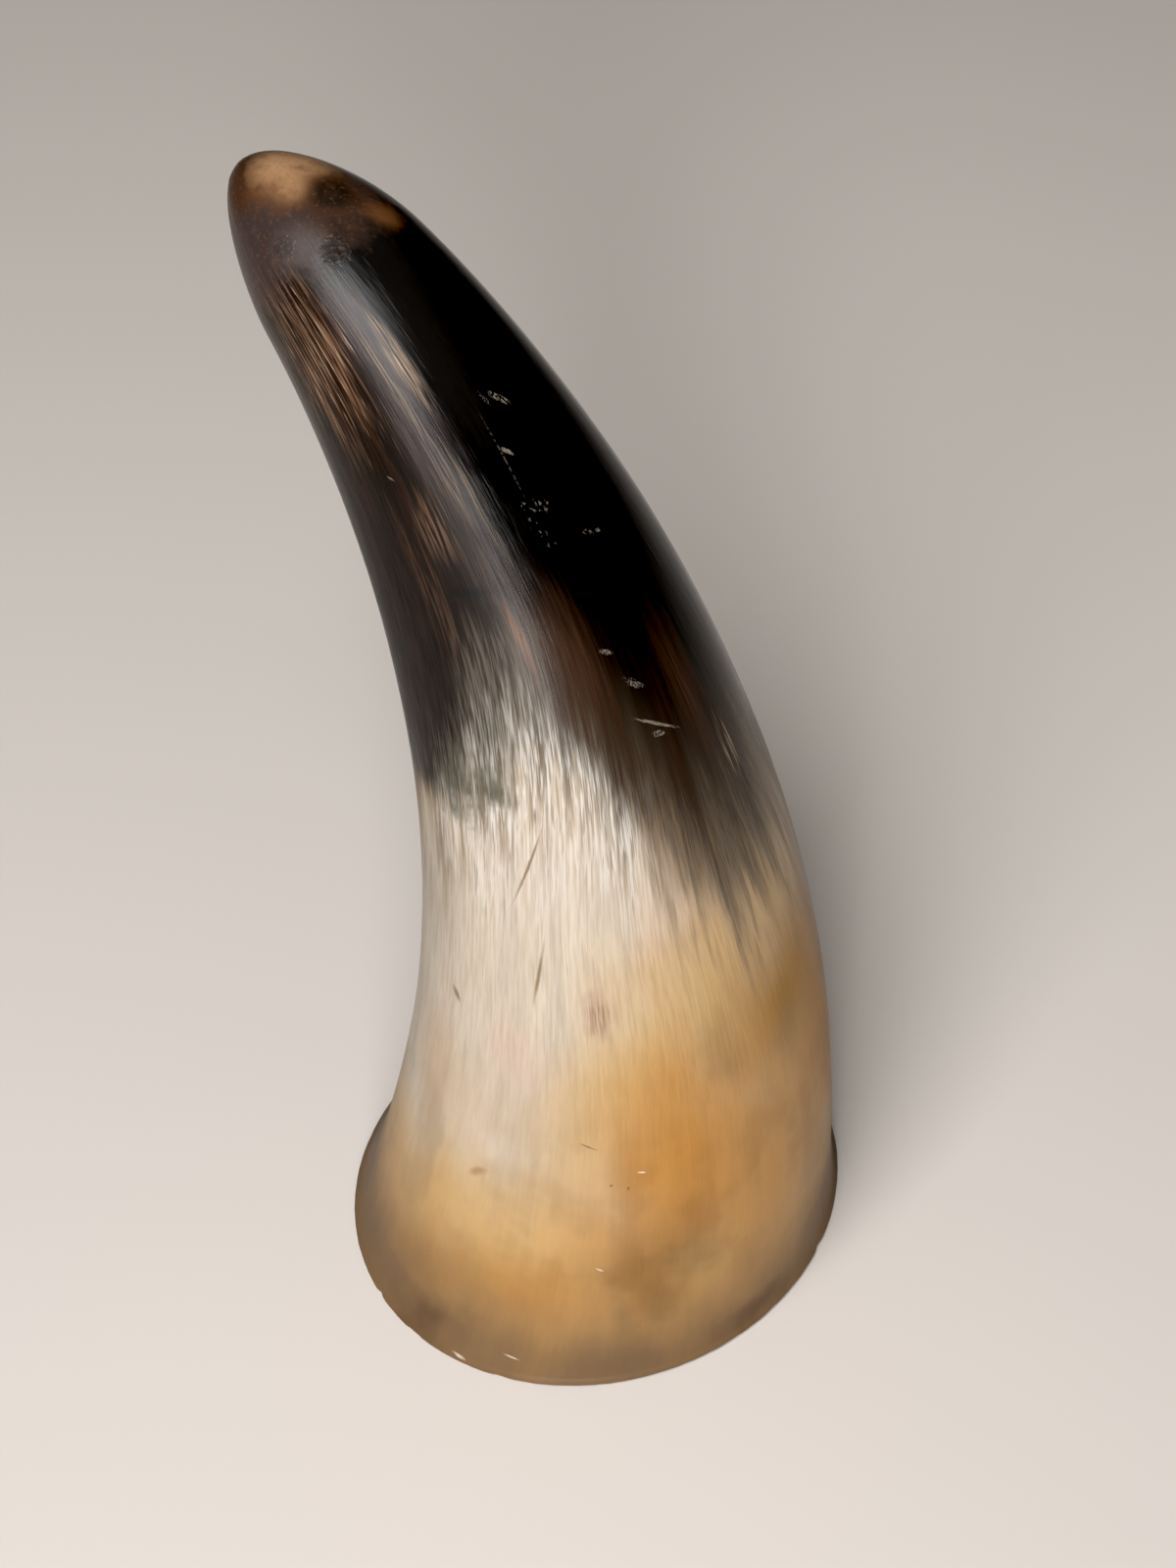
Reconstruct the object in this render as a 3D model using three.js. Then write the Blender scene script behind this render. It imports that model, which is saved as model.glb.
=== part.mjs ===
// A water buffalo's horn, sawn off level at its wide end and stood on the cut.
// It is one grown piece of horn keratin: a sheath that is open at the cut, where it sat on
// the animal's bony core, and solid from the middle of its length to its tip.
// Millimetres, +Z up. The origin is on the standing surface, under the middle of the horn's box.

import * as THREE from 'three';

// The middle line lies in one upright plane, given here as distance swept towards the tip's side
// and height. It leaves the cut leaning away from that side, then sweeps over to it.
const LINE_START = { sweep: 0, height: 0 };
const LINE_BELLY = { sweep: -24, height: 128 };
const LINE_BEND = { sweep: 44, height: 182 };
const LINE_TIP = { sweep: 71, height: 190 };

// The plane is turned about +Z, so that the tip points between -X and +Y.
const SWEEP_TURN = THREE.MathUtils.degToRad(40);

// The outside is a long cone that swells a little, with a lip at the cut and a rounded nose.
const CONE_RADIUS_AT_CUT = 43.1;
const CONE_RADIUS_AT_TIP = 10.7;
const SWELL = 0.9;
const LIP_HEIGHT = 1.7;
const LIP_FADE = 4;
const NOSE_LENGTH = 24;

// Every section is an oval, wider across the plane of the sweep, and rounder towards the tip.
const OVAL_AT_CUT = 1.11;
const OVAL_EASE = 0.5;

// The hollow follows the outside and closes in a dome.
const WALL_AT_CUT = 4.5;
const HOLLOW_DEPTH = 130;

// The cut is level. Sections come square to the middle line over this length.
const SQUARING_LENGTH = 60;

const SEGMENTS_AROUND = 48;
const BODY_STEPS = 36;
const NOSE_STEPS = 8;
const HOLLOW_STEPS = 18;
const BODY_STEP_GROWTH = 1.5;

const UP = new THREE.Vector3(0, 0, 1);
const sweepDirection = new THREE.Vector3(-Math.cos(SWEEP_TURN), Math.sin(SWEEP_TURN), 0);
const acrossSweep = new THREE.Vector3(Math.sin(SWEEP_TURN), Math.cos(SWEEP_TURN), 0);

function inSweepPlane({ sweep, height }) {
  return sweepDirection.clone().multiplyScalar(sweep).addScaledVector(UP, height);
}

const middleLine = new THREE.CubicBezierCurve3(
  inSweepPlane(LINE_START),
  inSweepPlane(LINE_BELLY),
  inSweepPlane(LINE_BEND),
  inSweepPlane(LINE_TIP),
);
const hornLength = middleLine.getLength();
const bodyLength = hornLength - NOSE_LENGTH;

function bodyRadius(along) {
  const fraction = along / hornLength;
  const cone = THREE.MathUtils.lerp(CONE_RADIUS_AT_CUT, CONE_RADIUS_AT_TIP, fraction);
  const swell = 4 * SWELL * fraction * (1 - fraction);
  return cone + swell + LIP_HEIGHT * Math.exp(-along / LIP_FADE);
}

// The profile of the straight horn, as radius and distance from the cut. It runs from the end
// of the hollow down its wall, across the cut face, up the outside and over the nose.
function hornProfile() {
  const profile = [];
  for (let step = 0; step <= HOLLOW_STEPS; step += 1) {
    const angle = (Math.PI / 2) * (1 - step / HOLLOW_STEPS);
    const along = HOLLOW_DEPTH * Math.sin(angle);
    const dome = Math.cos(angle) * Math.sqrt(1 + Math.sin(angle) ** 2);
    profile.push(new THREE.Vector2((bodyRadius(along) - WALL_AT_CUT) * dome, along));
  }
  for (let step = 0; step < BODY_STEPS; step += 1) {
    const along = bodyLength * (step / BODY_STEPS) ** BODY_STEP_GROWTH;
    profile.push(new THREE.Vector2(bodyRadius(along), along));
  }
  for (let step = 0; step <= NOSE_STEPS; step += 1) {
    const angle = (Math.PI / 2) * (step / NOSE_STEPS);
    const along = bodyLength + NOSE_LENGTH * Math.sin(angle);
    profile.push(new THREE.Vector2(bodyRadius(along) * Math.cos(angle), along));
  }
  profile[0].x = 0;
  profile[profile.length - 1].x = 0;
  return profile;
}

// Carries a point of the straight horn, whose length runs up +Y, onto the middle line.
function bendOntoLine(point) {
  const fraction = Math.min(point.y / hornLength, 1);
  const squareness = THREE.MathUtils.smoothstep(point.y, 0, SQUARING_LENGTH);
  const lengthwise = UP.clone().lerp(middleLine.getTangentAt(fraction), squareness).normalize();
  const outward = new THREE.Vector3().crossVectors(acrossSweep, lengthwise);
  const stretch = Math.sqrt(OVAL_AT_CUT) ** (1 - OVAL_EASE * fraction);
  return middleLine.getPointAt(fraction)
    .addScaledVector(outward, point.z / stretch)
    .addScaledVector(acrossSweep, point.x * stretch);
}

function hornGeometry() {
  const geometry = new THREE.LatheGeometry(hornProfile(), SEGMENTS_AROUND);
  const positions = geometry.attributes.position;
  const point = new THREE.Vector3();
  for (let index = 0; index < positions.count; index += 1) {
    const bent = bendOntoLine(point.fromBufferAttribute(positions, index));
    positions.setXYZ(index, bent.x, bent.y, bent.z);
  }
  geometry.computeVertexNormals();
  return geometry;
}

const hornKeratin = new THREE.MeshStandardMaterial({ color: '#8d6b48', roughness: 0.4, metalness: 0 });
const horn = new THREE.Mesh(hornGeometry(), hornKeratin);
horn.name = 'horn';

const hornBox = new THREE.Box3().setFromObject(horn);
const hornMiddle = hornBox.getCenter(new THREE.Vector3());
horn.position.set(-hornMiddle.x, -hornMiddle.y, -hornBox.min.z);

const buffaloHorn = new THREE.Group();
buffaloHorn.add(horn);

export default buffaloHorn;
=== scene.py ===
"""A water buffalo's horn, polished, standing on its sawn end. Metres, +Z up."""

import math

import bmesh
import bpy
import numpy as np
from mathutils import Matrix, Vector, geometry, noise


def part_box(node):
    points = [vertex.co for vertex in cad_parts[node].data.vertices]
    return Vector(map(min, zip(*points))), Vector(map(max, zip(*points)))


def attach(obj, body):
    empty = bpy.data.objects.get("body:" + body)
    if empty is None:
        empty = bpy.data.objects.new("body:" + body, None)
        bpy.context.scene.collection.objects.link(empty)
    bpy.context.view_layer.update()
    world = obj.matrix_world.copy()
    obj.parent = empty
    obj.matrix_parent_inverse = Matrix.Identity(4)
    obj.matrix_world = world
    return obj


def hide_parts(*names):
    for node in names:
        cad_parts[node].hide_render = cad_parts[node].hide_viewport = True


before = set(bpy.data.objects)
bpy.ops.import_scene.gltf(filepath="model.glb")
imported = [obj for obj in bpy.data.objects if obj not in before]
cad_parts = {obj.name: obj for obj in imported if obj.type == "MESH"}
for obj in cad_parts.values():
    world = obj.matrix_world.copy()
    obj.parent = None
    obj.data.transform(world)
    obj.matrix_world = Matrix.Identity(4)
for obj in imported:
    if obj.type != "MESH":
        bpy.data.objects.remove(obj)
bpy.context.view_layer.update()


# ---------------------------------------------------------------------------------------------
# The horn
# A single sheath of keratin that grew over a bony core, so it is hollow from the sawn wide end to
# past the middle of its length and solid from there to the blunt tip. It was sawn off level, filed
# and rubbed down, and hand-polished: fine work scratches are left in it.
# ---------------------------------------------------------------------------------------------

# Its middle line lies in one upright plane, and these are (sweep towards the tip's side, height).
LINE_START = (0.0, 0.0)
LINE_BELLY = (-0.024, 0.128)
LINE_BEND = (0.044, 0.182)
LINE_TIP = (0.071, 0.190)
SWEEP_TURN = math.radians(40)

CONE_RADIUS_AT_CUT = 0.0431
CONE_RADIUS_AT_TIP = 0.0107
SWELL = 0.0009
LIP_HEIGHT = 0.0017
LIP_FADE = 0.004
NOSE_LENGTH = 0.024
OVAL_AT_CUT = 1.11
OVAL_EASE = 0.5
WALL_AT_CUT = 0.0045
HOLLOW_DEPTH = 0.130
SQUARING_LENGTH = 0.060
CUT_EDGE_ROUND = 0.0009
INSIDE_CAD = 0.0003

LINE_STEPS = 400
STEPS_AROUND = 256
BODY_STEPS = 262
NOSE_STEPS = 34
HOLLOW_STEPS = 44
EDGE_STEPS = 4
BODY_STEP_GROWTH = 1.06
MERGE_WITHIN = 1e-7

UP = np.array([0.0, 0.0, 1.0])
sweep_direction = np.array([-math.cos(SWEEP_TURN), math.sin(SWEEP_TURN), 0.0])
across_sweep = np.array([math.sin(SWEEP_TURN), math.cos(SWEEP_TURN), 0.0])

line_ends = [
    Vector(sweep * sweep_direction + height * UP)
    for sweep, height in (LINE_START, LINE_BELLY, LINE_BEND, LINE_TIP)
]
line_points = np.array(geometry.interpolate_bezier(*line_ends, LINE_STEPS))
line_reach = np.concatenate(
    [[0.0], np.cumsum(np.linalg.norm(np.diff(line_points, axis=0), axis=1))]
)
line_heading = np.gradient(line_points, line_reach, axis=0)
HORN_LENGTH = float(line_reach[-1]) - INSIDE_CAD
BODY_LENGTH = HORN_LENGTH - NOSE_LENGTH


def body_radius(along):
    fraction = along / HORN_LENGTH
    cone = CONE_RADIUS_AT_CUT + (CONE_RADIUS_AT_TIP - CONE_RADIUS_AT_CUT) * fraction
    swell = 4 * SWELL * fraction * (1 - fraction)
    return cone + swell + LIP_HEIGHT * np.exp(-along / LIP_FADE) - INSIDE_CAD


def outside_radius(along):
    past_body = np.clip((along - BODY_LENGTH) / NOSE_LENGTH, 0, 1)
    return body_radius(along) * np.sqrt(1 - past_body**2)


def horn_profile():
    """The straight horn's profile as (radius, along): hollow, cut with worn edges, outside, nose."""
    profile = []
    for step in range(HOLLOW_STEPS):
        angle = math.pi / 2 * (1 - step / HOLLOW_STEPS)
        along = HOLLOW_DEPTH * math.sin(angle)
        dome = math.cos(angle) * math.sqrt(1 + math.sin(angle) ** 2)
        profile.append(((body_radius(along) - WALL_AT_CUT) * dome, along))
    inner = body_radius(0) - WALL_AT_CUT + CUT_EDGE_ROUND
    outer = body_radius(0) - CUT_EDGE_ROUND
    for centre, first_angle in ((inner, math.pi), (outer, 1.5 * math.pi)):
        for step in range(EDGE_STEPS + 1):
            angle = first_angle + math.pi / 2 * step / EDGE_STEPS
            radius = centre + CUT_EDGE_ROUND * math.cos(angle)
            profile.append((radius, CUT_EDGE_ROUND * (1 + math.sin(angle))))
    for step in range(1, BODY_STEPS):
        share = (step / BODY_STEPS) ** BODY_STEP_GROWTH
        along = CUT_EDGE_ROUND + (BODY_LENGTH - CUT_EDGE_ROUND) * share
        profile.append((body_radius(along), along))
    for step in range(NOSE_STEPS + 1):
        angle = math.pi / 2 * step / NOSE_STEPS
        along = BODY_LENGTH + NOSE_LENGTH * math.sin(angle)
        profile.append((body_radius(along) * math.cos(angle), along))
    profile[0] = (0.0, profile[0][1])
    profile[-1] = (0.0, profile[-1][1])
    return profile


def turned_horn():
    """The horn before it is bent: its profile turned about +Z."""
    shell = bmesh.new()
    order = shell.verts.layers.int.new("profile_step")
    rim = [shell.verts.new((radius, 0.0, along)) for radius, along in horn_profile()]
    for step, vert in enumerate(rim):
        vert[order] = step
    edges = [shell.edges.new(pair) for pair in zip(rim, rim[1:])]
    bmesh.ops.spin(
        shell,
        geom=rim + edges,
        cent=(0, 0, 0),
        axis=(0, 0, 1),
        angle=2 * math.pi,
        steps=STEPS_AROUND,
        use_merge=True,
    )
    bmesh.ops.remove_doubles(shell, verts=shell.verts, dist=MERGE_WITHIN)
    bmesh.ops.recalc_face_normals(shell, faces=shell.faces)
    mesh = bpy.data.meshes.new("horn_sheath")
    shell.to_mesh(mesh)
    shell.free()
    return mesh


def bend(straight):
    """Carries points of the straight horn, whose length runs up +Z, onto the middle line."""
    along = np.clip(straight[:, 2], 0, HORN_LENGTH)
    middle = np.stack([np.interp(along, line_reach, line_points[:, i]) for i in range(3)], 1)
    heading = np.stack([np.interp(along, line_reach, line_heading[:, i]) for i in range(3)], 1)
    share = np.clip(along / SQUARING_LENGTH, 0, 1)
    share = (share * share * (3 - 2 * share))[:, None]
    lengthwise = (1 - share) * UP + share * heading
    lengthwise /= np.linalg.norm(lengthwise, axis=1, keepdims=True)
    outward = np.cross(across_sweep, lengthwise)
    stretch = (math.sqrt(OVAL_AT_CUT) ** (1 - OVAL_EASE * along / HORN_LENGTH))[:, None]
    return (
        middle
        + outward * straight[:, :1] / stretch
        + across_sweep * straight[:, 1:2] * stretch
    )


mesh = turned_horn()
straight = np.empty(len(mesh.vertices) * 3)
mesh.vertices.foreach_get("co", straight)
straight = straight.reshape(-1, 3)
angle = np.arctan2(straight[:, 1], straight[:, 0])
along = straight[:, 2]
in_hollow = (np.hypot(straight[:, 0], straight[:, 1]) < body_radius(along) - WALL_AT_CUT / 2) & (
    along < HOLLOW_DEPTH + WALL_AT_CUT
)

bent = bend(straight)
cad_low, cad_high = (np.array(corner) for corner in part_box("horn"))
centring = (cad_low + cad_high) / 2 - (bent.min(0) + bent.max(0)) / 2
centring[2] = 0
bent += centring
mesh.vertices.foreach_set("co", bent.ravel())
mesh.polygons.foreach_set("use_smooth", [True] * len(mesh.polygons))
mesh.update()


def surface_point(degrees, height):
    """The point of the finished surface at that angle and distance from the cut."""
    turn = math.radians(degrees)
    radius = outside_radius(height)
    point = np.array([[radius * math.cos(turn), radius * math.sin(turn), height]])
    return Vector((bend(point) + centring)[0])


# Its surface is not a perfect turned shape: it swells and dips where it was rubbed down by hand,
# has low lengthwise ridges, two rough pits near the tip and small nicks in the cut's edge.
SWELL_SIZE = 0.034
SWELL_DEPTH = 0.00016
SWELL_LOWERED = 0.5
SWELL_FADE = 0.012
RIDGE_WIDTH = 0.0065
RIDGE_LENGTH = 0.080
RIDGE_DEPTH = 0.00005
PIT_DEPTH = 0.00030
PIT_GRAIN = 0.0007
PITS = ((308.5, 0.2026, 0.0019), (334.0, 0.1978, 0.0024))
NICKS = ((252, 0.0011, 0.0004), (266, 0.0020, 0.0002), (290, 0.0014, 0.0002), (17, 0.0016, 0.0003),
         (150, 0.0017, 0.0004), (93, 0.0012, 0.0003))
NICK_HEIGHT = 0.0024
EDGE_GRAIN = 0.0022
EDGE_RAGGED = 0.00012
EDGE_LOWERED = 0.4
HOLLOW_SHARE = 0.3
ON_CUT_WITHIN = 1e-5

# Its ridges, and further down its marks, are laid out as on a straight tube of this radius.
TUBE_RADIUS = 0.040

normals = np.empty(len(mesh.vertices) * 3)
mesh.vertex_normals.foreach_get("vector", normals)
normals = normals.reshape(-1, 3)
rise_from_cut = np.clip(along / SWELL_FADE, 0, 1)
swelling = np.array([noise.noise(Vector(point) / SWELL_SIZE) for point in bent])
round_horn = TUBE_RADIUS / RIDGE_WIDTH
ridges = np.array([
    noise.noise(Vector((math.cos(a) * round_horn, math.sin(a) * round_horn, h / RIDGE_LENGTH)))
    for a, h in zip(angle, along)
])
lift = rise_from_cut * (SWELL_DEPTH * (swelling - SWELL_LOWERED) + RIDGE_DEPTH * ridges)
for degrees, height, size in PITS:
    distance = np.linalg.norm(bent - np.array(surface_point(degrees, height)), axis=1)
    for i in np.nonzero(distance < size)[0]:
        rough = 0.5 + noise.noise(Vector(bent[i]) / PIT_GRAIN)
        lift[i] -= PIT_DEPTH * rough * (1 - (distance[i] / size) ** 2)
for degrees, half_width, depth in NICKS:
    spot = np.array(surface_point(degrees, 0))
    distance = np.linalg.norm((bent - spot) * (1, 1, half_width / NICK_HEIGHT), axis=1)
    lift -= depth * np.clip(1 - (distance / half_width) ** 2, 0, 1)
near_cut = np.clip(1 - along / NICK_HEIGHT, 0, 1)
for i in np.nonzero((near_cut > 0) & ~in_hollow)[0]:
    ragged = noise.noise(Vector(bent[i]) / EDGE_GRAIN) - EDGE_LOWERED
    lift[i] += near_cut[i] * EDGE_RAGGED * ragged
sideways = normals.copy()
sideways[along < NICK_HEIGHT, 2] = 0
lift[in_hollow] *= HOLLOW_SHARE
on_flat = np.hypot(straight[:, 0], straight[:, 1]) < body_radius(0) - 2 * CUT_EDGE_ROUND
lift[(along < ON_CUT_WITHIN) & on_flat] = 0
bent += sideways * lift[:, None]
mesh.vertices.foreach_set("co", bent.ravel())
mesh.update()

# Its picture is unrolled as one sheet, from the top of the hollow over the cut to the tip, slit
# down the side away from the viewer. The hollow is drawn smaller on it.
SLIT_STEP = 92
SLIT = math.radians(SLIT_STEP * 360 / STEPS_AROUND)
ON_AXIS_WITHIN = 1e-6
HOLLOW_SHRINK = 0.35
SHEET_MARGIN = 0.005

profile_parts = np.linalg.norm(np.diff(np.array(horn_profile()), axis=0), axis=1)
profile_parts[:HOLLOW_STEPS] *= HOLLOW_SHRINK
sheet_height = np.concatenate([[0.0], np.cumsum(profile_parts)]) / profile_parts.sum()
profile_step = np.empty(len(mesh.vertices), dtype=np.int32)
mesh.attributes["profile_step"].data.foreach_get("value", profile_step)
corner_vertex = np.empty(len(mesh.loops), dtype=np.int32)
mesh.loops.foreach_get("vertex_index", corner_vertex)
corner_count = np.empty(len(mesh.polygons), dtype=np.int32)
mesh.polygons.foreach_get("loop_total", corner_count)
corner_face = np.repeat(np.arange(len(mesh.polygons)), corner_count)
face_middle = np.zeros((len(mesh.polygons), 2))
np.add.at(face_middle, corner_face, straight[corner_vertex, :2])
face_angle = np.arctan2(face_middle[:, 1], face_middle[:, 0])[corner_face]
aside = (angle[corner_vertex] - face_angle + math.pi) % (2 * math.pi) - math.pi
corner_radius = np.hypot(straight[corner_vertex, 0], straight[corner_vertex, 1])
aside[corner_radius < ON_AXIS_WITHIN] = 0
sheet_across = ((face_angle - SLIT) % (2 * math.pi) + aside) / (2 * math.pi)
sheet = np.stack([sheet_across, sheet_height[profile_step[corner_vertex]]], 1)
sheet = SHEET_MARGIN + (1 - 2 * SHEET_MARGIN) * sheet
mesh.uv_layers.new(name="OFBake").data.foreach_set("uv", sheet.ravel())
mesh.attributes.remove(mesh.attributes["profile_step"])

horn = bpy.data.objects.new("horn_sheath", mesh)
bpy.context.scene.collection.objects.link(horn)
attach(horn, "root")
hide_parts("horn")

# Two sets of directions run over its surface as if the horn were a straight tube: "place" for where
# a mark sits, and "grain", which leans as the fibres do where they draw together up the front and
# turns a little further on the front of the dark half. The lean is in degrees a millimetre.
MM_PER_METRE = 1000
GRAIN_LEAN = 0.32
GRAIN_MEETS = math.radians(316)
GRAIN_MIDDLE = 0.110
GRAIN_REACH = 0.050
TWIST_ABOUT = math.radians(325)
TWIST_SPREAD = math.radians(42)
TWIST_FROM = 0.088
TWIST_LENGTH = 0.060
TWIST_MOST = math.radians(19)

leaning = GRAIN_REACH * np.tanh((along - GRAIN_MIDDLE) / GRAIN_REACH) * MM_PER_METRE
grain_angle = angle + np.radians(GRAIN_LEAN * leaning) * np.sin(angle - GRAIN_MEETS)
from_twist = (angle - TWIST_ABOUT + math.pi) % (2 * math.pi) - math.pi
twisted = np.clip((along - TWIST_FROM) / TWIST_LENGTH, 0, 1)
twisted = twisted * twisted * (3 - 2 * twisted)
grain_angle -= TWIST_MOST * twisted * np.exp(-((from_twist / TWIST_SPREAD) ** 2))

# The edge of its dark half wanders round the horn: (degrees round, height, how gradual it is).
DARK_EDGE = (
    (0, 0.096, 0.013), (12, 0.097, 0.012), (28, 0.103, 0.011), (60, 0.112, 0.008),
    (100, 0.106, 0.012), (140, 0.116, 0.006), (180, 0.108, 0.012), (215, 0.116, 0.004),
    (235, 0.117, 0.003), (262, 0.1190, 0.003), (273, 0.1205, 0.004), (280, 0.1260, 0.006),
    (289, 0.1305, 0.008), (305, 0.1310, 0.008), (317, 0.1290, 0.007), (324, 0.1215, 0.005),
    (330, 0.115, 0.005), (338, 0.108, 0.007), (348, 0.102, 0.011),
)
edge_angles, edge_heights, edge_reaches = zip(*DARK_EDGE)
turn_degrees = np.degrees(angle) % 360
dark_above = np.interp(turn_degrees, edge_angles, edge_heights, period=360)
gradual = np.interp(turn_degrees, edge_angles, edge_reaches, period=360)


def tube(around):
    return np.stack([TUBE_RADIUS * np.cos(around), TUBE_RADIUS * np.sin(around), along], 1)


def keep(name, kind, values):
    stored = mesh.attributes.new(name, kind, "POINT")
    stored.data.foreach_set("vector" if kind == "FLOAT_VECTOR" else "value", values.ravel())


keep("place", "FLOAT_VECTOR", tube(angle))
keep("grain", "FLOAT_VECTOR", tube(grain_angle))
keep("height", "FLOAT", along)
keep("above_edge", "FLOAT", along - dark_above)
keep("edge_gradual", "FLOAT", gradual)
keep("in_hollow", "FLOAT", in_hollow.astype(float))

keratin = bpy.data.materials.new("horn_keratin")
keratin.use_nodes = True
tree = keratin.node_tree
shader = tree.nodes["Principled BSDF"]


def add(kind, inputs, output=0, **settings):
    """A new node. Each input is a value or another node's output."""
    made = tree.nodes.new(kind)
    for name, value in settings.items():
        setattr(made, name, value)
    for socket, value in inputs.items():
        if isinstance(value, bpy.types.NodeSocket):
            tree.links.new(value, made.inputs[socket])
        else:
            made.inputs[socket].default_value = value
    return made.outputs[output]


def kept(name, output="Fac"):
    return add("ShaderNodeAttribute", {}, output, attribute_name=name)


def calc(operation, *values):
    return add("ShaderNodeMath", dict(enumerate(values)), operation=operation)


def rise(value, low, high, to_low=0.0, to_high=1.0):
    """Goes smoothly from to_low to to_high as the value goes from low to high."""
    ends = {"Value": value, "From Min": low, "From Max": high, "To Min": to_low, "To Max": to_high}
    return add("ShaderNodeMapRange", ends, interpolation_type="SMOOTHSTEP")


def both(first, second):
    return calc("MULTIPLY", first, second)


def swayed(value, by, reach):
    """A value pushed up and down by a noise."""
    return calc("MULTIPLY_ADD", calc("SUBTRACT", by, 0.5), reach, value)


# The Mix node's sockets go by number, because those for numbers and colours share their names.
MIX_SHARE = 0
FIRST_NUMBER = 2
SECOND_NUMBER = 3
FIRST_COLOUR = 6
SECOND_COLOUR = 7
MIXED_COLOUR = 2


def lay(colour, over, share, how="MIX"):
    """Lays one colour over another where share is 1."""
    if isinstance(over, tuple):
        over = (*over, 1)
    if isinstance(colour, tuple):
        colour = (*colour, 1)
    mixed = {MIX_SHARE: share, FIRST_COLOUR: colour, SECOND_COLOUR: over}
    return add("ShaderNodeMix", mixed, MIXED_COLOUR, data_type="RGBA", blend_type=how)


place = kept("place", "Vector")
grain = kept("grain", "Vector")
up = kept("height")
above_edge = kept("above_edge")
edge_gradual = kept("edge_gradual")
hollow_side = kept("in_hollow")
solid = add("ShaderNodeTexCoord", {}, "Object")


def noise_on(vector, detail, roughness):
    inputs = {"Vector": vector, "Scale": 1.0, "Detail": detail, "Roughness": roughness}
    return add("ShaderNodeTexNoise", inputs, "Fac")


def fibres(width, length, seed, detail=2.0, roughness=0.55):
    """Noise from 0 to 1, drawn out lengthwise into fibres."""
    scale = (1 / width, 1 / width, 1 / length)
    drawn = {"Vector": grain, "Location": (seed, seed, seed), "Scale": scale}
    return noise_on(add("ShaderNodeMapping", drawn), detail, roughness)


def grains(size, seed, detail=2.0):
    """Noise from 0 to 1 that is the same size in every direction."""
    moved = {"Vector": solid, "Location": (seed, seed, seed), "Scale": (1 / size,) * 3}
    return noise_on(add("ShaderNodeMapping", moved), detail, 0.6)


SPOT_DEPTH = 1.2 * TUBE_RADIUS


def centred(degrees, height, half_width, half_length, lean=0.0):
    """Directions centred on a spot of the surface, which reach 1 at the edge of its oval."""
    turn = math.radians(degrees)
    widening = TUBE_RADIUS / float(outside_radius(height))
    leaned = math.sin(math.radians(lean)) ** 2
    across = half_width * (widening + (1 - widening) * leaned)
    lengthwise = half_length * (1 + (widening - 1) * leaned)
    spot = {
        "Vector": place,
        "Location": (TUBE_RADIUS * math.cos(turn), TUBE_RADIUS * math.sin(turn), height),
        "Rotation": (math.radians(lean), 0, turn),
        "Scale": (SPOT_DEPTH, across, lengthwise),
    }
    return add("ShaderNodeMapping", spot, vector_type="TEXTURE")


def fading(around, reach, core, ragged, by):
    """1 at the middle of those directions, falling to 0 at their edge, which noise makes ragged."""
    inside = add("ShaderNodeTexGradient", {"Vector": around}, "Fac", gradient_type="SPHERICAL")
    if ragged:
        inside = swayed(inside, by, ragged / reach)
    return rise(inside, 1 - 1 / reach, 1 - core / reach)


def patch(degrees, height, half_width, half_length, lean=0.0, core=0.0, ragged=0.0, by=None):
    """An oval spot on the surface, from 0 at its edge to 1 at its middle."""
    reach = 1 + ragged / 2
    around = centred(degrees, height, half_width * reach, half_length * reach, lean)
    return fading(around, reach, core, ragged, by)


def ball(degrees, height, radius, core=0.0, ragged=0.0, by=None):
    """A round spot, from 0 at its edge to 1 at its middle, which may go over the tip."""
    reach = 1 + ragged / 2
    middle = surface_point(degrees, height)
    spot = {"Vector": solid, "Location": middle, "Scale": (radius * reach,) * 3}
    around = add("ShaderNodeMapping", spot, vector_type="TEXTURE")
    return fading(around, reach, core, ragged, by)


# Its streaks, from broad bands to single fibres
broad = fibres(0.016, 0.070, 1.3, 1.0)
bands = fibres(0.0055, 0.040, 4.7, 2.0)
streaks = fibres(0.0019, 0.019, 8.1, 3.0, 0.6)
fine = fibres(0.00060, 0.0080, 12.9, 2.0, 0.6)
hairs = fibres(0.00034, 0.0050, 17.3, 1.0)
clouds = grains(0.024, 0.31)
billows = grains(0.010, 0.53)
mottle = grains(0.0040, 0.77, 3.0)
grit = grains(0.0007, 1.13)

# The pale half: cream with grey-white fibres, amber towards the cut, and painted shade near the cut
CREAM = (0.480, 0.412, 0.330)
CREAM_GREY = (0.37, 0.320, 0.260)
CREAM_WHITE = (0.50, 0.445, 0.385)
BROWN_TAN = (0.215, 0.135, 0.068)
CREAM_PINK = (0.47, 0.355, 0.285)
AMBER = (0.375, 0.190, 0.053)
AMBER_DEEP = (0.365, 0.166, 0.033)
AMBER_SHADE = (0.205, 0.102, 0.028)
AMBER_YELLOW = (0.43, 0.272, 0.104)
OCHRE = (0.31, 0.148, 0.020)
TAN = (0.42, 0.283, 0.140)
RIM_SHADE_TAN = (0.225, 0.124, 0.044)
RIM_BROWN = (0.140, 0.085, 0.043)
RIM_SHADE = (0.085, 0.046, 0.022)
OLIVE = (0.170, 0.112, 0.045)
CLOUD_SHADE = (0.82, 0.76, 0.67)
CLOUD_LIGHT = (1.12, 1.10, 1.06)
FIBRE_SHADE = (0.76, 0.72, 0.66)
FIBRE_LIGHT = (1.14, 1.13, 1.12)

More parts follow.
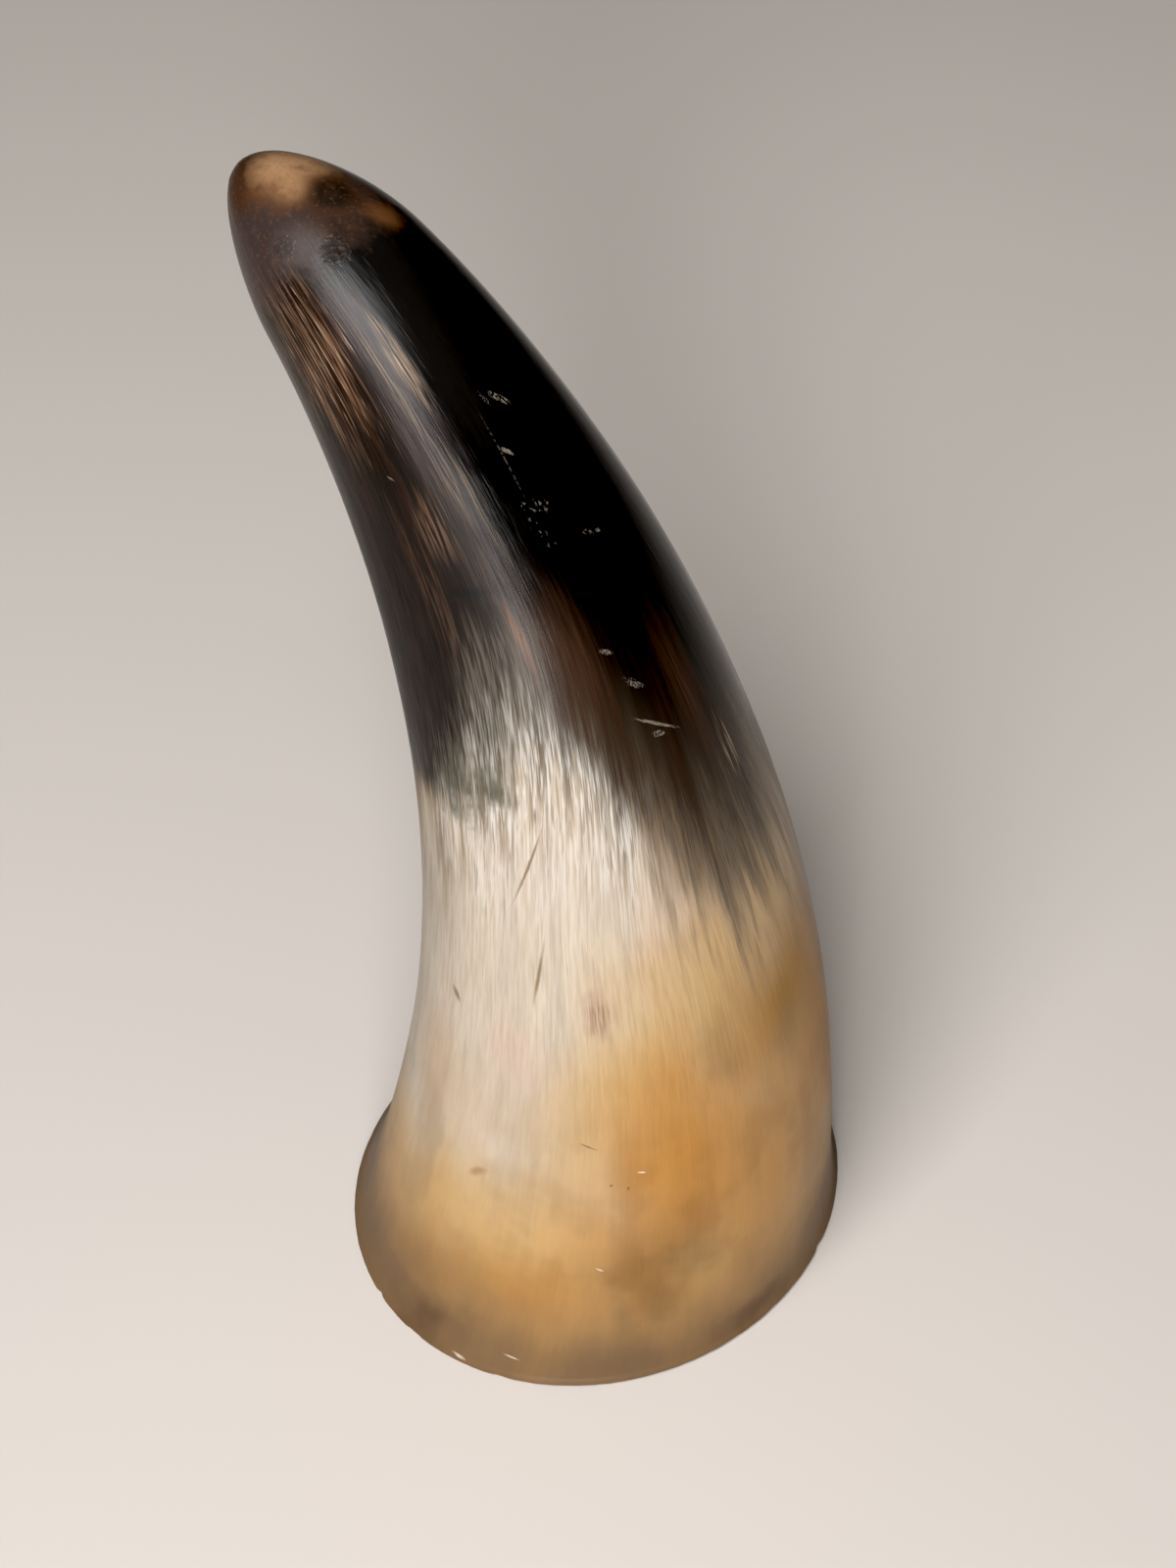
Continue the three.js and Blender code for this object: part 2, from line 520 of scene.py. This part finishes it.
ruffle = both(calc("ADD", broad, clouds), 0.5)
pale = lay(CREAM, CREAM_GREY, rise(bands, 0.42, 0.70, 0, 0.6))
pale = lay(pale, CREAM_GREY, rise(streaks, 0.48, 0.74, 0, 0.6))
pale = lay(pale, CREAM_PINK, rise(broad, 0.50, 0.66, 0, 0.5))
amber_height = swayed(swayed(up, broad, 0.052), bands, 0.018)
pale = lay(pale, TAN, rise(amber_height, 0.050, 0.022, 0, 0.85))
pale = lay(pale, AMBER, rise(amber_height, 0.038, 0.010, 0, 0.5))
for colour, degrees, height, half_width, half_length, lean, most in (
    (TAN, 300, 0.030, 0.036, 0.030, 0, 0.8),
    (TAN, 298, 0.055, 0.018, 0.028, 0, 0.75),
    (AMBER_YELLOW, 292, 0.034, 0.018, 0.024, 0, 0.5),
    # The CREAM_GREY spot at 248 degrees is painted shade down the horn's left edge.
    (CREAM_GREY, 248, 0.100, 0.015, 0.026, 0, 0.9),
    (TAN, 256, 0.060, 0.016, 0.018, 0, 0.45),
    (CREAM_PINK, 268, 0.058, 0.014, 0.014, 0, 0.3),
    (AMBER_YELLOW, 306, 0.064, 0.013, 0.028, 0, 0.35),
    (CREAM_WHITE, 298, 0.108, 0.020, 0.015, 0, 0.55),
    (TAN, 314, 0.088, 0.010, 0.014, 0, 0.35),
    (BROWN_TAN, 2, 0.106, 0.018, 0.016, 0, 0.85),
    (TAN, 8, 0.088, 0.018, 0.022, 0, 0.9),
    (TAN, 352, 0.050, 0.036, 0.052, 0, 0.9),
    (AMBER_YELLOW, 341, 0.082, 0.016, 0.022, 12, 0.75),
    (AMBER_YELLOW, 320, 0.067, 0.018, 0.030, 14, 0.9),
    (AMBER, 22, 0.056, 0.026, 0.036, 0, 0.9),
    (OCHRE, 8, 0.071, 0.020, 0.018, 0, 0.95),
    (AMBER, 346, 0.040, 0.034, 0.044, 0, 0.85),
    (AMBER, 318, 0.036, 0.024, 0.036, 10, 0.7),
    (AMBER_DEEP, 330, 0.057, 0.019, 0.026, 14, 0.85),
    (AMBER_SHADE, 322, 0.030, 0.020, 0.018, 20, 0.7),
    (AMBER, 286, 0.022, 0.028, 0.016, -8, 0.95),
    (AMBER_YELLOW, 338, 0.024, 0.012, 0.016, 0, 0.5),
    (AMBER_YELLOW, 262, 0.032, 0.022, 0.028, 0, 0.7),
    (AMBER_SHADE, 258, 0.014, 0.018, 0.012, 20, 0.6),
    (AMBER, 60, 0.050, 0.036, 0.036, 0, 0.8),
    (AMBER_YELLOW, 120, 0.060, 0.030, 0.034, 10, 0.8),
    (AMBER_DEEP, 175, 0.040, 0.026, 0.026, -10, 0.7),
    (CREAM_PINK, 281, 0.074, 0.010, 0.013, 0, 0.8),
):
    spot = patch(degrees, height, half_width, half_length, lean, 0.05, 0.8, ruffle)
    pale = lay(pale, colour, both(spot, most))
flow = both(calc("ADD", bands, billows), 0.5)
near_base = rise(up, 0.075, 0.045)
pale = lay(pale, CLOUD_SHADE, both(rise(flow, 0.46, 0.62, 0, 0.6), near_base), "MULTIPLY")
pale = lay(pale, CLOUD_LIGHT, both(rise(flow, 0.54, 0.40, 0, 0.6), near_base), "MULTIPLY")
# Towards the cut it darkens to tan, then brown, all round: painted shade where the wall comes down
# to the table.
rim_shade_height = swayed(swayed(up, clouds, 0.022), bands, 0.016)
pale = lay(pale, RIM_SHADE_TAN, rise(rim_shade_height, 0.034, 0.009, 0, 0.75))
pale = lay(pale, RIM_BROWN, rise(rim_shade_height, 0.020, 0.001, 0, 0.85))
for colour, degrees, height, half_width, half_length, lean, most in (
    (OLIVE, 316, 0.018, 0.0030, 0.0120, 14, 0.45),
    (OLIVE, 324, 0.021, 0.0040, 0.0110, 18, 0.45),
    (OLIVE, 333, 0.030, 0.0085, 0.0070, 0, 0.45),
    (OLIVE, 344, 0.070, 0.0050, 0.0110, 12, 0.35),
    (OLIVE, 8, 0.066, 0.0060, 0.0120, 0, 0.4),
    # The RIM_BROWN and RIM_SHADE spots low down are more of that painted shade.
    (RIM_BROWN, 318, 0.004, 0.0160, 0.0070, 0, 0.75),
    (RIM_SHADE, 353, 0.004, 0.0110, 0.0050, 0, 0.8),
    (RIM_SHADE, 268, 0.006, 0.0150, 0.0085, 12, 0.8),
    (RIM_BROWN, 240, 0.006, 0.0120, 0.0070, 0, 0.6),
    (AMBER_SHADE, 322, 0.024, 0.0085, 0.0150, 22, 0.60),
    (RIM_SHADE, 205, 0.009, 0.0140, 0.0090, 0, 0.8),
    (RIM_SHADE, 95, 0.008, 0.0160, 0.0070, 0, 0.7),
    (RIM_BROWN, 26, 0.010, 0.0140, 0.0110, 0, 0.55),
):
    spot = patch(degrees, height, half_width, half_length, lean, 0.0, 1.2, billows)
    pale = lay(pale, colour, both(spot, most))
fibre_depth = rise(up, 0.045, 0.100, 0.22, 0.95)
pale = lay(pale, FIBRE_SHADE, both(rise(fine, 0.34, 0.60, 0.65, 0), fibre_depth), "MULTIPLY")
pale = lay(pale, FIBRE_LIGHT, both(rise(hairs, 0.52, 0.70, 0, 0.8), fibre_depth), "MULTIPLY")

# Silver-grey and white fibres where the pale half meets the dark one; on the front they are partly a
# painted sheen, with painted glints
SILVER = (0.30, 0.272, 0.232)
SILVER_SHADE = (0.105, 0.093, 0.073)
GREY_TAN = (0.175, 0.124, 0.074)
WHITE_FIBRE_GLINT = (0.55, 0.52, 0.475)
silver_height = swayed(above_edge, bands, 0.026)
silver = lay(SILVER, SILVER_SHADE, rise(streaks, 0.44, 0.62))
silver = lay(silver, WHITE_FIBRE_GLINT, rise(fine, 0.48, 0.60, 0, 0.85))
silver = lay(silver, SILVER_SHADE, rise(hairs, 0.47, 0.60, 0, 0.7))
front = patch(296, 0.125, 0.0195, 0.060, 0, 0.6, 0.3, bands)
pale = lay(pale, GREY_TAN, rise(silver_height, -0.014, 0.004, 0, 0.9))
tan_streaks = both(rise(streaks, 0.46, 0.62), rise(silver_height, -0.026, -0.008, 0, 0.7))
pale = lay(pale, GREY_TAN, tan_streaks)
pale = lay(pale, silver, both(front, rise(silver_height, -0.016, 0.000, 0, 0.95)))
# Painted glints: white flecks of sheen on the front, below the dark edge.
painted_glints = both(rise(fine, 0.50, 0.62, 0, 0.6), rise(silver_height, -0.034, -0.012))
pale = lay(pale, WHITE_FIBRE_GLINT, both(front, painted_glints))
gaps = both(rise(hairs, 0.54, 0.66, 0, 0.7), rise(silver_height, -0.036, -0.010))
pale = lay(pale, GREY_TAN, both(front, gaps))

# The dark half: black on its outer side, brown with lighter fibres on its inner side
BLACK = (0.0026, 0.0023, 0.0021)
DARK_BROWN = (0.0085, 0.0052, 0.0038)
BROWN = (0.022, 0.0105, 0.0055)
LIGHT_BROWN = (0.115, 0.064, 0.038)
PALE_FIBRE = (0.36, 0.26, 0.175)
RED_BROWN = (0.024, 0.0118, 0.0065)
RUST = (0.040, 0.0185, 0.0105)
ORANGE_FIBRE = (0.17, 0.075, 0.034)
GREY_BROWN = (0.044, 0.030, 0.019)
EDGE_GREY = (0.095, 0.078, 0.062)
TIP_PURPLE = (0.042, 0.029, 0.027)
HAIR_SHADE = (0.30, 0.25, 0.22)

edge_height = swayed(above_edge, bands, 0.020)
dark = lay(BLACK, GREY_BROWN, rise(edge_height, 0.030, 0.003))
reddish = both(rise(bands, 0.42, 0.62, 0.1, 0.9), rise(streaks, 0.36, 0.64, 0.35, 1.0))
reddish = both(rise(edge_height, 0.044, 0.014), reddish)
dark = lay(dark, RED_BROWN, reddish)
dark = lay(dark, EDGE_GREY, both(rise(edge_height, 0.016, -0.002), rise(fine, 0.44, 0.60, 0, 0.85)))
browning = patch(265, 0.166, 0.0195, 0.060, 0, 0.75, 0.25, bands)
brown = lay(DARK_BROWN, BROWN, both(rise(streaks, 0.45, 0.62), rise(up, 0.155, 0.185, 0.3, 1)))
brown = lay(brown, LIGHT_BROWN, both(rise(fine, 0.53, 0.66), rise(up, 0.170, 0.194, 0.05, 0.85)))
brown = lay(brown, EDGE_GREY, both(rise(edge_height, 0.014, 0.000), rise(fine, 0.44, 0.60, 0, 0.7)))
brown = lay(brown, HAIR_SHADE, rise(hairs, 0.48, 0.62, 0, 0.75), "MULTIPLY")
dark = lay(dark, brown, browning)
for degrees, height, half_width, half_length, lean, most in (
    (283, 0.188, 0.0060, 0.019, 4, 0.85),
    (300, 0.186, 0.0030, 0.016, 4, 0.80),
    (302, 0.160, 0.0036, 0.0075, 6, 0.75),
    (313, 0.165, 0.0030, 0.030, 2, 0.25),
    (290, 0.150, 0.0030, 0.020, 10, 0.30),
):
    spot = patch(degrees, height, half_width, half_length, lean, 0.1, 1.0, streaks)
    dark = lay(dark, LIGHT_BROWN, both(spot, rise(fine, 0.42, 0.60, 0, most)))
for colour, degrees, height, half_width, half_length, lean, most in (
    (RUST, 330, 0.135, 0.0070, 0.0150, 4, 0.85),
    (RUST, 7, 0.124, 0.0045, 0.0160, 0, 0.8),
    (ORANGE_FIBRE, 316, 0.1415, 0.0011, 0.0070, 4, 0.85),
):
    spot = patch(degrees, height, half_width, half_length, lean, 0.1, 1.0, streaks)
    dark = lay(dark, colour, both(spot, rise(fine, 0.30, 0.60, 0.4 * most, most)))
smoky = patch(305, 0.138, 0.0100, 0.0110, 6, 0.2, 1.0, bands)
dark = lay(dark, EDGE_GREY, both(smoky, rise(fine, 0.44, 0.60, 0.15, 0.75)))
# A purple-brown tint along the highlight's path below the tip, which paints part of the sheen's
# colour.
sheen_tint = patch(316, 0.180, 0.0050, 0.026, 2, 0.2, 0.6, bands)
dark = lay(dark, TIP_PURPLE, both(sheen_tint, rise(fine, 0.35, 0.60, 0.3, 0.75)))
for degrees, height, half_width, half_length, lean, most in (
    (326, 0.182, 0.0016, 0.0105, 3, 0.75),
    (324, 0.160, 0.0011, 0.0120, 3, 0.3),
    (317, 0.172, 0.0012, 0.0160, 3, 0.35),
    (15.5, 0.1125, 0.0017, 0.0070, 0, 0.75),
):
    spot = patch(degrees, height, half_width, half_length, lean, 0.2, 1.0, fine)
    combed = both(rise(fine, 0.44, 0.58, 0, most), rise(hairs, 0.40, 0.58, 0.35, 1.0))
    dark = lay(dark, PALE_FIBRE, both(spot, combed))
lit_hairs = both(rise(hairs, 0.56, 0.70), rise(fine, 0.50, 0.60))
near_brown = patch(288, 0.189, 0.0110, 0.021, 0, 0.4)
dark = lay(dark, PALE_FIBRE, both(both(lit_hairs, near_brown), 0.7))

# The tip, worn through to tan
TIP_TAN = (0.37, 0.215, 0.112)
TIP_AMBER = (0.15, 0.062, 0.020)
TIP_BROWN = (0.047, 0.020, 0.009)
TIP_SHEEN_GREY = (0.078, 0.062, 0.058)

tip_height = swayed(up, mottle, 0.010)
dark = lay(dark, TIP_PURPLE, rise(tip_height, 0.196, 0.204, 0, 0.85))
dark = lay(dark, TIP_BROWN, rise(tip_height, 0.209, 0.214, 0, 0.9))
for colour, degrees, height, radius, most in (
    (TIP_BROWN, 0, 0.2040, 0.0100, 0.9),
    (TIP_AMBER, 17, 0.1980, 0.0040, 0.65),
    (TIP_AMBER, 354, 0.2105, 0.0092, 0.9),
    (TIP_TAN, 0, 0.2125, 0.0070, 0.95),
    (TIP_TAN, 344, 0.2085, 0.0040, 0.50),
    (TIP_TAN, 20, 0.2095, 0.0050, 0.5),
    (TIP_TAN, 140, 0.2090, 0.0070, 0.7),
):
    spot = ball(degrees, height, radius, 0.15, 0.8, mottle)
    dark = lay(dark, colour, both(spot, most))
dark = lay(dark, DARK_BROWN, both(ball(0, 0.2045, 0.0050, 0.3, 0.9, mottle), 0.92))
# A painted sheen: a blue-grey patch where the highlight spreads near the tip.
dark = lay(dark, TIP_SHEEN_GREY, both(ball(316, 0.2010, 0.0060, 0.1, 0.6, mottle), 0.75))
dark = lay(dark, TIP_BROWN, both(rise(mottle, 0.52, 0.68), rise(tip_height, 0.199, 0.207, 0, 0.5)))
dark = lay(dark, LIGHT_BROWN, both(rise(grit, 0.54, 0.68), rise(tip_height, 0.194, 0.202, 0, 0.3)))
pitted = 0.0
for degrees, height, size in PITS:
    pitted = calc("MAXIMUM", pitted, ball(degrees, height, size * 1.1, 0.5, 0.8, grit))
dark = lay(dark, lay(DARK_BROWN, LIGHT_BROWN, rise(grit, 0.52, 0.70, 0, 0.6)), both(pitted, 0.45))

# Where the halves meet, the dark one runs down between the fibres
jagged = calc("DIVIDE", above_edge, edge_gradual)
for streaking, reach in ((bands, 1.5), (streaks, 1.5), (fine, 2.2), (hairs, 1.6)):
    jagged = swayed(jagged, streaking, reach)
in_dark = rise(jagged, -1.15, 1.0)
colour = lay(pale, dark, in_dark)

# Stains in the silver fibres
STAIN = (0.070, 0.066, 0.046)
for degrees, height, half_width, half_length, lean, most in (
    (296, 0.1285, 0.0030, 0.0075, 8, 0.7),
    (274, 0.1218, 0.0090, 0.0080, 12, 0.95),
    (288, 0.1222, 0.0040, 0.0050, 20, 0.85),
    (291, 0.1195, 0.0022, 0.0060, 80, 0.55),
    (301, 0.1165, 0.0012, 0.0020, 0, 0.6),
):
    spot = patch(degrees, height, half_width, half_length, lean, 0.1, 1.4, mottle)
    colour = lay(colour, STAIN, both(spot, both(rise(fine, 0.36, 0.56), most)))

# Small marks: pale chips in the dark half, dark cracks and white nicks in the pale one
CHIP = (0.24, 0.200, 0.155)
CRACK = (0.17, 0.105, 0.045)
SMUDGE = (0.30, 0.185, 0.085)
SCUFF = (0.26, 0.155, 0.105)
WHITE_CHIP = (0.75, 0.68, 0.58)
CHIP_REACH = 1.5
CHIP_CORE = 0.45
STRAND_SHAPE = (0.2, 2.0, 7.0)
STRAND_LOW = 0.36
STRAND_HIGH = 0.46
STRAND_TEAR = 0.12
TORN_FADE = 0.6


def chip(degrees, height, half_width, half_length, lean, torn):
    """A small spot, the more of it torn into strands the higher torn is."""
    around = centred(degrees, height, half_width * CHIP_REACH, half_length * CHIP_REACH, lean)
    own_place = (degrees, height * MM_PER_METRE, 0)
    strands = {"Vector": around, "Location": own_place, "Scale": STRAND_SHAPE}
    strands = noise_on(add("ShaderNodeMapping", strands), 2.0, 0.6)
    outline = fading(around, CHIP_REACH, CHIP_CORE, 1.0, strands)
    tear = STRAND_TEAR * torn
    whole = 1 - min(1, torn)
    most = 1 - TORN_FADE * max(0, torn - 1)
    return both(outline, rise(strands, STRAND_LOW + tear, STRAND_HIGH + tear, whole, most))


chips = 0.0
for degrees, height, half_width, half_length, lean, torn in (
    (356.5, 0.1702, 0.0006, 0.0015, 62, 1.0),
    (350.0, 0.1712, 0.0003, 0.0012, 20, 1.3),
    (345.5, 0.1641, 0.0004, 0.0009, 62, 0.3),
    (292.5, 0.1684, 0.0002, 0.0006, 60, 0.6),
    (345.0, 0.1560, 0.0010, 0.0026, 76, 1.7),
    (341.0, 0.1525, 0.0008, 0.0030, 30, 1.9),
    (0.5, 0.1494, 0.0004, 0.0020, 78, 1.2),
    (343.0, 0.1350, 0.0004, 0.0011, 70, 0.8),
    (348.5, 0.1290, 0.0005, 0.0015, 68, 0.9),
    (347.0, 0.1300, 0.0004, 0.0014, 68, 1.5),
    (350.0, 0.1228, 0.0003, 0.0042, 65, 0.4),
    (349.5, 0.1214, 0.0005, 0.0012, 78, 1.0),
):
    chips = calc("MAXIMUM", chips, chip(degrees, height, half_width, half_length, lean, torn))
colour = lay(colour, CHIP, both(chips, 0.65))

# A fine broken scratch down the black side
scratch = patch(343.0, 0.1640, 0.00016, 0.0080, -7, 0.3, 0.4, streaks)
scratch = both(scratch, rise(grit, 0.42, 0.56))
colour = lay(colour, CHIP, both(scratch, 0.2))

# Cracks and dark specks in the pale half
cracks = 0.0
for degrees, height, half_width, half_length, lean in (
    (294.5, 0.1086, 0.00032, 0.0088, -42),
    (292.0, 0.0900, 0.00045, 0.0070, -20),
    (259.5, 0.0806, 0.00100, 0.0020, 50),
    (303.5, 0.0584, 0.00020, 0.0022, 70),
    (310.0, 0.0504, 0.00030, 0.0004, 0),
    (314.5, 0.0496, 0.00030, 0.0005, 0),
):
    crack = patch(degrees, height, half_width, half_length, lean, 0.2, 0.9, fine)
    cracks = calc("MAXIMUM", cracks, crack)
colour = lay(colour, CRACK, both(cracks, 0.85))

# A smudge and a reddish scuff on the pale half, a dark scratch across the brown one
smudge = patch(271.5, 0.0459, 0.0011, 0.0034, -50, 0.0, 1.4, mottle)
colour = lay(colour, SMUDGE, both(smudge, 0.85))
dark_scratch = patch(304, 0.1500, 0.0012, 0.0045, 80, 0.1, 1.0, fine)
colour = lay(colour, BLACK, both(dark_scratch, 0.8))
scuff = patch(308.5, 0.0830, 0.0032, 0.0060, 0, 0.1, 0.8, mottle)
scuff = both(scuff, rise(hairs, 0.40, 0.56, 0.2, 0.95))
colour = lay(colour, SCUFF, scuff)

# White nicks in the amber, down to the cut
for degrees, height, half_length, lean in (
    (318.0, 0.0526, 0.0010, 80),
    (308.5, 0.0310, 0.0010, 62),
    (291.5, 0.0050, 0.0020, 78),
    (279.0, 0.0014, 0.0018, 82),
):
    nick = patch(degrees, height, 0.00026, half_length, lean, 0.3, 0.5, grit)
    colour = lay(colour, WHITE_CHIP, both(nick, 0.55))

# The sawn face and the hollow are matt and were never polished
SAWN = (0.34, 0.24, 0.14)
HOLLOW = (0.30, 0.215, 0.13)
HOLLOW_DARK = (0.10, 0.065, 0.035)
# The hollow is mottled darker, and grows darker further in.
bare = lay(HOLLOW, HOLLOW_DARK, rise(clouds, 0.40, 0.66))
bare = lay(bare, HOLLOW_DARK, rise(up, 0.050, 0.125, 0, 0.8))
colour = lay(colour, bare, hollow_side)
sawn = rise(up, 0.0008, 0.0002)
colour = lay(colour, lay(SAWN, RIM_BROWN, rise(mottle, 0.42, 0.62)), sawn)
unpolished = calc("MAXIMUM", hollow_side, sawn)

# The dark half has the brighter polish, and brightest towards the tip and down its two sides
PALE_ROUGHNESS = 0.48
BLACK_ROUGHNESS = 0.31
BROWN_ROUGHNESS = 0.45
SMOOTHER_AT_TIP = 0.21
SMOOTHEST_FRONT = 0.225
SMOOTHER_SIDES = 0.16
FIBRE_ROUGHNESS = 0.07
HAIR_ROUGHNESS = 0.09
CHIP_ROUGHNESS = 0.62
BARE_ROUGHNESS = 0.85
POLISH_SHINE = 0.2

dark_roughness = rise(browning, 0, 1, BLACK_ROUGHNESS, BROWN_ROUGHNESS)
dark_roughness = calc("SUBTRACT", dark_roughness, rise(up, 0.150, 0.185, 0, SMOOTHER_AT_TIP))
dark_roughness = calc("MAXIMUM", dark_roughness, SMOOTHEST_FRONT)
halves = {MIX_SHARE: in_dark, FIRST_NUMBER: PALE_ROUGHNESS, SECOND_NUMBER: dark_roughness}
roughness = add("ShaderNodeMix", halves, data_type="FLOAT")
roughness = calc("ADD", roughness, rise(fine, 0.50, 0.70, 0, FIBRE_ROUGHNESS))
roughness = calc("ADD", roughness, both(rise(hairs, 0.46, 0.62, 0, HAIR_ROUGHNESS), in_dark))
black_side = patch(28, 0.150, 0.029, 0.085, 0, 0.6)
brown_side = patch(222, 0.155, 0.011, 0.070, 0, 0.4)
sides = calc("MAXIMUM", black_side, brown_side)
roughness = calc("SUBTRACT", roughness, both(both(sides, in_dark), SMOOTHER_SIDES))
roughness = calc("MAXIMUM", roughness, both(calc("MAXIMUM", chips, pitted), CHIP_ROUGHNESS))
roughness = calc("MAXIMUM", roughness, both(unpolished, BARE_ROUGHNESS))

# Its finest relief, in metres: fibres, rough pits, sunken chips and cracks, and saw marks
FINE_RELIEF = 0.000022
HAIR_RELIEF = 0.000018
STREAK_RELIEF = 0.00003
PIT_RELIEF = 0.00015
CHIP_SINK = 0.00012
SAWN_RELIEF = 0.0002

relief = both(fine, FINE_RELIEF)
relief = calc("MULTIPLY_ADD", hairs, HAIR_RELIEF, relief)
relief = calc("MULTIPLY_ADD", streaks, STREAK_RELIEF, relief)
relief = calc("MULTIPLY_ADD", both(grit, pitted), PIT_RELIEF, relief)
relief = calc("MULTIPLY_ADD", calc("MAXIMUM", chips, cracks), -CHIP_SINK, relief)
relief = calc("MULTIPLY_ADD", both(grit, unpolished), SAWN_RELIEF, relief)
bumps = add("ShaderNodeBump", {"Strength": 1.0, "Distance": 1.0, "Height": relief})

tree.links.new(colour, shader.inputs["Base Color"])
tree.links.new(roughness, shader.inputs["Roughness"])
tree.links.new(bumps, shader.inputs["Normal"])
shader.inputs["Specular IOR Level"].default_value = POLISH_SHINE
mesh.materials.append(keratin)


# ---------------------------------------------------------------------------------------------
# The table
# A plain pale matt board that the horn stands on. It isn't part of the horn.
# ---------------------------------------------------------------------------------------------

TABLE_SIZE = 8.0
TABLE_COLOUR = (0.650, 0.610, 0.572, 1)
TABLE_ROUGHNESS = 0.9
TABLE_SHINE = 0.1

table_shape = bmesh.new()
bmesh.ops.create_grid(table_shape, x_segments=1, y_segments=1, size=TABLE_SIZE / 2)
table_mesh = bpy.data.meshes.new("table")
table_shape.to_mesh(table_mesh)
table_shape.free()
table = bpy.data.objects.new("table", table_mesh)
bpy.context.scene.collection.objects.link(table)
table_finish = bpy.data.materials.new("pale_table")
table_finish.use_nodes = True
table_shader = table_finish.node_tree.nodes["Principled BSDF"]
table_shader.inputs["Base Color"].default_value = TABLE_COLOUR
table_shader.inputs["Roughness"].default_value = TABLE_ROUGHNESS
table_shader.inputs["Specular IOR Level"].default_value = TABLE_SHINE
table_mesh.materials.append(table_finish)


# ---------------------------------------------------------------------------------------------
# The studio light
# A tall soft box stands low in front and a squarer one hangs nearer on the left, so that their
# reflections run up the horn, and a wide one hangs overhead. The room itself is dark, which keeps
# the horn's far side black.
# ---------------------------------------------------------------------------------------------

FRONT_WHITE = (1.0, 0.985, 0.985)
OVERHEAD_WHITE = (1.0, 0.935, 0.83)
BLACK_LEVEL = 0.006


def softbox(name, place, target, size, power, colour):
    lamp = bpy.data.lights.new(name, "AREA")
    lamp.shape = "RECTANGLE"
    lamp.size, lamp.size_y = size
    lamp.energy = power
    lamp.color = colour
    stand = bpy.data.objects.new(name, lamp)
    stand.location = place
    stand.rotation_euler = (Vector(target) - Vector(place)).to_track_quat("-Z", "Y").to_euler()
    bpy.context.scene.collection.objects.link(stand)


softbox("window", (-0.02, -1.30, 0.55), (0, 0, 0.08), (0.36, 0.80), 14.0, FRONT_WHITE)
softbox("front_softbox", (-0.23, -0.45, 0.80), (0, 0, 0.08), (0.40, 0.47), 7.8, FRONT_WHITE)
softbox("overhead_softbox", (0.0, 0.1, 1.6), (0, 0.1, 0), (2.4, 2.4), 6.2, OVERHEAD_WHITE)
room = bpy.data.worlds.new("room")
room.use_nodes = True
room.node_tree.nodes["Background"].inputs["Strength"].default_value = 0.0
bpy.context.scene.world = room
bpy.context.scene.view_settings.view_transform = "Standard"
bpy.context.scene.view_settings.use_curve_mapping = True
tone = bpy.context.scene.view_settings.curve_mapping
tone.black_level = (BLACK_LEVEL,) * 3
tone.update()


# ---------------------------------------------------------------------------------------------
# The camera
# It looks down on the horn at about 45 degrees from in front.
# ---------------------------------------------------------------------------------------------

CAMERA_FOCAL_MM = 72
CAMERA_SENSOR_MM = 36
CAMERA_PITCH = math.radians(45.39)
CAMERA_PLACE = (0.0041, -0.3538, 0.4605)

camera_data = bpy.data.cameras.new("camera")
camera_data.lens = CAMERA_FOCAL_MM
camera_data.sensor_width = CAMERA_SENSOR_MM
camera = bpy.data.objects.new("camera", camera_data)
camera.location = CAMERA_PLACE
camera.rotation_euler = (math.pi / 2 - CAMERA_PITCH, 0, 0)
bpy.context.scene.collection.objects.link(camera)
bpy.context.scene.camera = camera
